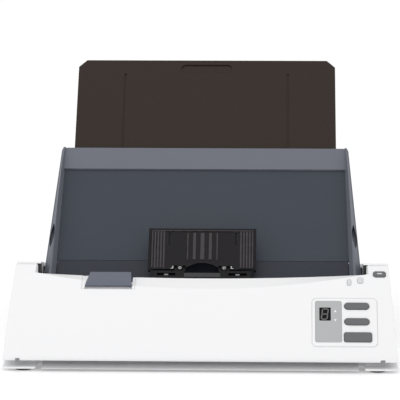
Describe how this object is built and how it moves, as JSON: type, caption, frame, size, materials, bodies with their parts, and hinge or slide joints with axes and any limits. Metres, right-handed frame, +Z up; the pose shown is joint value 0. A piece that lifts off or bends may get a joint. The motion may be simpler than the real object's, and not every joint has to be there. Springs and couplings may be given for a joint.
{
  "type": "document scanner",
  "caption": "Sheet-feed document scanner with a hinged front cover, control panel, feed rollers and gear train, guide flap and a tray with sliding extension.",
  "frame": {"origin": "bottom centre of the whole model's box, on the desk under the feed tray", "axes": "+X to the right seen from the front, +Y towards the rear, +Z up"},
  "size_m": [0.3146, 0.2158, 0.2263],
  "materials": {
    "white_case": "fine-textured moulded ABS",
    "latch_grey": "satin moulded ABS",
    "button_grey": "satin keycap plastic",
    "plate_grey": "smooth printed panel",
    "tray_grey": "fine-textured moulded ABS",
    "black_plastic": "matte moulded ABS",
    "path_grey": "smooth low-friction plastic",
    "smoky_plastic": "tinted translucent plastic",
    "flap_plastic": "tinted translucent plastic",
    "window_black": "polished display filter",
    "led_clear": "frosted light guide",
    "rubber": "moulded rubber",
    "roller_rubber": "ground feed rubber",
    "steel": "ground steel",
    "sheet_steel": "zinc-plated sheet",
    "gear_plastic": "acetal",
    "glass": "float glass",
    "board_green": "solder-masked board"
  },
  "bodies": {
    "base": {"lower_casing": "white_case", "rear_casing": "white_case", "path_plate": "path_grey", "side_frame_left": "sheet_steel", "side_frame_right": "sheet_steel", "roller_bushes": "gear_plastic", "rear_image_sensor": "black_plastic", "rear_sensor_glass": "glass", "drive_motor": "sheet_steel", "main_board": "board_green", "usb_socket": "black_plastic", "power_socket": "black_plastic", "rubber_feet": "rubber", "case_screws": "steel", "hinge_pins": "steel"},
    "cover": {"cover_shell": "white_case", "cover_liner": "path_grey", "panel_bezel": "white_case", "display_plate": "plate_grey", "display_window": "window_black", "led_windows": "led_clear", "control_board": "board_green", "power_switch": "black_plastic", "front_image_sensor": "black_plastic", "front_sensor_glass": "glass", "flap_bracket": "black_plastic"},
    "feed_roller": {"feed_roller_shaft": "steel", "feed_roller_hub": "gear_plastic", "feed_roller_tyre": "roller_rubber", "feed_gear": "gear_plastic"},
    "drive_roller": {"drive_roller_shaft": "steel", "drive_roller_tyres": "roller_rubber", "drive_gear": "gear_plastic"},
    "exit_roller": {"exit_roller_shaft": "steel", "exit_roller_tyres": "roller_rubber", "exit_gear": "gear_plastic"},
    "upper_idler": {"upper_idler_gear": "gear_plastic"},
    "lower_idler": {"lower_idler_gear": "gear_plastic"},
    "reduction": {"reduction_gear": "gear_plastic"},
    "pinion": {"motor_pinion": "gear_plastic"},
    "drive_pinch": {"drive_pinch_rollers": "gear_plastic"},
    "exit_pinch": {"exit_pinch_rollers": "gear_plastic"},
    "pad": {"separation_pad_holder": "black_plastic", "separation_pad": "rubber"},
    "flap": {"guide_flap": "flap_plastic"},
    "latch": {"release_latch": "latch_grey", "latch_shaft": "steel", "latch_hooks": "steel"},
    "upper_select": {"upper_select_button": "button_grey"},
    "lower_select": {"lower_select_button": "button_grey"},
    "start": {"start_button": "button_grey"},
    "power": {"power_button": "button_grey"},
    "tray": {"tray_body": "tray_grey", "tray_back_cover": "tray_grey"},
    "extension": {"tray_extension": "smoky_plastic"}
  },
  "joints": [
    {"name": "cover_hinge", "type": "hinge", "parent": "base", "child": "cover", "pos_m": [0, -0.09929, 0.01744], "axis": [1, 0, 0], "range_deg": [0, 78]},
    {"name": "feed_spin", "type": "hinge", "parent": "base", "child": "feed_roller", "pos_m": [0, -0.04477, 0.04087], "axis": [1, 0, 0], "continuous": true},
    {"name": "drive_spin", "type": "hinge", "parent": "base", "child": "drive_roller", "pos_m": [0, -0.06145, 0.02877], "axis": [1, 0, 0], "continuous": true},
    {"name": "exit_spin", "type": "hinge", "parent": "base", "child": "exit_roller", "pos_m": [0, -0.07688, 0.01038], "axis": [1, 0, 0], "continuous": true},
    {"name": "upper_idler_spin", "type": "hinge", "parent": "base", "child": "upper_idler", "pos_m": [0, -0.05186, 0.02834], "axis": [1, 0, 0], "continuous": true},
    {"name": "lower_idler_spin", "type": "hinge", "parent": "base", "child": "lower_idler", "pos_m": [0, -0.06576, 0.01671], "axis": [1, 0, 0], "continuous": true},
    {"name": "reduction_spin", "type": "hinge", "parent": "base", "child": "reduction", "pos_m": [0, -0.03717, 0.02771], "axis": [1, 0, 0], "continuous": true},
    {"name": "pinion_spin", "type": "hinge", "parent": "base", "child": "pinion", "pos_m": [0, -0.05055, 0.01567], "axis": [1, 0, 0], "continuous": true},
    {"name": "drive_pinch_spin", "type": "hinge", "parent": "cover", "child": "drive_pinch", "pos_m": [0, -0.06885, 0.03497], "axis": [1, 0, 0], "continuous": true},
    {"name": "exit_pinch_spin", "type": "hinge", "parent": "cover", "child": "exit_pinch", "pos_m": [0, -0.08427, 0.01658], "axis": [1, 0, 0], "continuous": true},
    {"name": "pad_pivot", "type": "hinge", "parent": "cover", "child": "pad", "pos_m": [0, -0.06184, 0.04293], "axis": [1, 0, 0], "range_deg": [0, 4], "stiffness_Nm_per_rad": 0.5, "springref_deg": -5.73},
    {"name": "flap_pivot", "type": "hinge", "parent": "cover", "child": "flap", "pos_m": [0, -0.04321, 0.07011], "axis": [1, 0, 0], "range_deg": [0, 15], "stiffness_Nm_per_rad": 0.05, "springref_deg": -5.73},
    {"name": "latch_pull", "type": "hinge", "parent": "cover", "child": "latch", "pos_m": [0, -0.05562, 0.05781], "axis": [1, 0, 0], "range_deg": [0, 10], "stiffness_Nm_per_rad": 0.3, "springref_deg": -5.73},
    {"name": "upper_select_press", "type": "slide", "parent": "cover", "child": "upper_select", "axis": [0, 0.766, -0.6428], "range_m": [0, 0.0008], "stiffness_N_per_m": 400, "springref_m": -0.0004},
    {"name": "lower_select_press", "type": "slide", "parent": "cover", "child": "lower_select", "axis": [0, 0.766, -0.6428], "range_m": [0, 0.0008], "stiffness_N_per_m": 400, "springref_m": -0.0004},
    {"name": "start_press", "type": "slide", "parent": "cover", "child": "start", "axis": [0, 0.766, -0.6428], "range_m": [0, 0.0008], "stiffness_N_per_m": 400, "springref_m": -0.0004},
    {"name": "power_press", "type": "slide", "parent": "cover", "child": "power", "axis": [0, 0.5405, -0.8414], "range_m": [0, 0.0006], "stiffness_N_per_m": 400, "springref_m": -0.0004},
    {"name": "tray_lift", "type": "slide", "parent": "base", "child": "tray", "axis": [0, 0.6428, 0.766], "range_m": [0, 0.03]},
    {"name": "extension_slide", "type": "slide", "parent": "tray", "child": "extension", "axis": [0, 0.6428, 0.766], "range_m": [-0.083, 0]}
  ],
  "couplings": [
    {"joint": "upper_idler_spin", "follows": "feed_spin", "ratio": -2},
    {"joint": "drive_spin", "follows": "feed_spin", "ratio": 2},
    {"joint": "lower_idler_spin", "follows": "feed_spin", "ratio": -1.2},
    {"joint": "exit_spin", "follows": "feed_spin", "ratio": 2},
    {"joint": "reduction_spin", "follows": "feed_spin", "ratio": -1.7143},
    {"joint": "pinion_spin", "follows": "feed_spin", "ratio": 6.8571}
  ]
}
